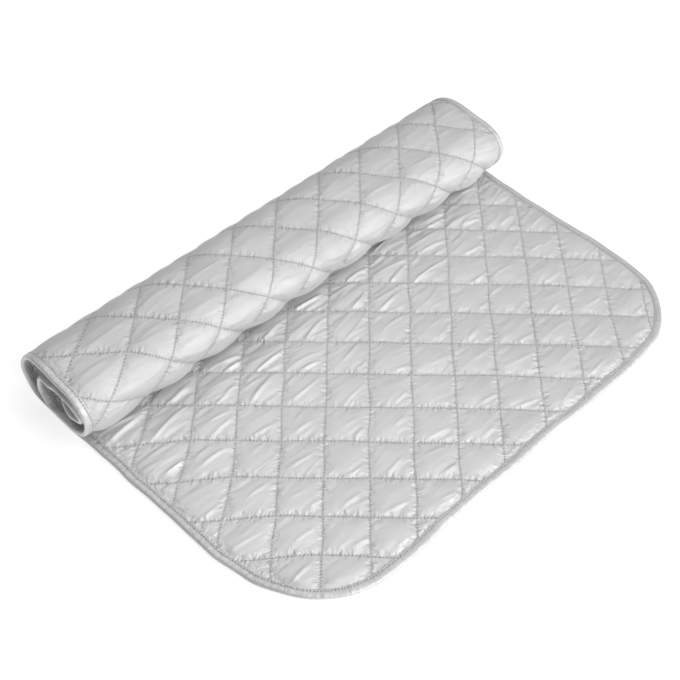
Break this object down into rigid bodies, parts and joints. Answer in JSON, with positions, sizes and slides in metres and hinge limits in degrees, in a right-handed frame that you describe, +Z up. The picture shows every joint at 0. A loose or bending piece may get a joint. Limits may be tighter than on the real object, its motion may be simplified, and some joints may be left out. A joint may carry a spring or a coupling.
{
  "type": "ironing pad",
  "caption": "Quilted silver-coated ironing pad with a bound edge and rounded corners, lying flat at one end and rolled up at the other.",
  "frame": {"origin": "on the table under the middle of the part as it lies, half rolled", "axes": "+X from the roll to the pad's free end, +Y along the roll across the pad's width, +Z up"},
  "size_m": [0.3432, 0.48, 0.0664],
  "materials": {
    "silver_cloth": "silver-coated satin weave",
    "wadding": "loose fibre",
    "binding_tape": "silver-coated satin tape"
  },
  "bodies": {
    "flat_panel": {"top_cover_flat": "silver_cloth", "wadding_flat": "wadding", "back_cover_flat": "silver_cloth", "edge_binding_flat": "binding_tape"},
    "bend_1": {"top_cover_bend_1": "silver_cloth", "wadding_bend_1": "wadding", "back_cover_bend_1": "silver_cloth", "binding_left_bend_1": "binding_tape", "binding_right_bend_1": "binding_tape"},
    "bend_2": {"top_cover_bend_2": "silver_cloth", "wadding_bend_2": "wadding", "back_cover_bend_2": "silver_cloth", "binding_left_bend_2": "binding_tape", "binding_right_bend_2": "binding_tape"},
    "bend_3": {"top_cover_bend_3": "silver_cloth", "wadding_bend_3": "wadding", "back_cover_bend_3": "silver_cloth", "binding_left_bend_3": "binding_tape", "binding_right_bend_3": "binding_tape"},
    "bend_4": {"top_cover_bend_4": "silver_cloth", "wadding_bend_4": "wadding", "back_cover_bend_4": "silver_cloth", "binding_left_bend_4": "binding_tape", "binding_right_bend_4": "binding_tape"},
    "bend_5": {"top_cover_bend_5": "silver_cloth", "wadding_bend_5": "wadding", "back_cover_bend_5": "silver_cloth", "binding_left_bend_5": "binding_tape", "binding_right_bend_5": "binding_tape"},
    "roll": {"top_cover_roll": "silver_cloth", "wadding_roll": "wadding", "back_cover_roll": "silver_cloth", "edge_binding_roll": "binding_tape"}
  },
  "joints": [
    {"name": "roll_out_1", "type": "hinge", "parent": "flat_panel", "child": "bend_1", "pos_m": [-0.14706, 0, 0.00113], "axis": [0, -1, 0], "range_deg": [0, 30]},
    {"name": "roll_out_2", "type": "hinge", "parent": "bend_1", "child": "bend_2", "pos_m": [-0.16194, 0, 0.00972], "axis": [0, -1, 0], "range_deg": [0, 30]},
    {"name": "roll_out_3", "type": "hinge", "parent": "bend_2", "child": "bend_3", "pos_m": [-0.17053, 0, 0.02461], "axis": [0, -1, 0], "range_deg": [0, 30]},
    {"name": "roll_out_4", "type": "hinge", "parent": "bend_3", "child": "bend_4", "pos_m": [-0.17053, 0, 0.04179], "axis": [0, -1, 0], "range_deg": [0, 30]},
    {"name": "roll_out_5", "type": "hinge", "parent": "bend_4", "child": "bend_5", "pos_m": [-0.16194, 0, 0.05668], "axis": [0, -1, 0], "range_deg": [0, 30]},
    {"name": "roll_out_6", "type": "hinge", "parent": "bend_5", "child": "roll", "pos_m": [-0.14706, 0, 0.06527], "axis": [0, -1, 0], "range_deg": [0, 30]}
  ],
  "couplings": [
    {"joint": "roll_out_2", "follows": "roll_out_1", "ratio": 1},
    {"joint": "roll_out_3", "follows": "roll_out_1", "ratio": 1},
    {"joint": "roll_out_4", "follows": "roll_out_1", "ratio": 1},
    {"joint": "roll_out_5", "follows": "roll_out_1", "ratio": 1},
    {"joint": "roll_out_6", "follows": "roll_out_1", "ratio": 1}
  ]
}
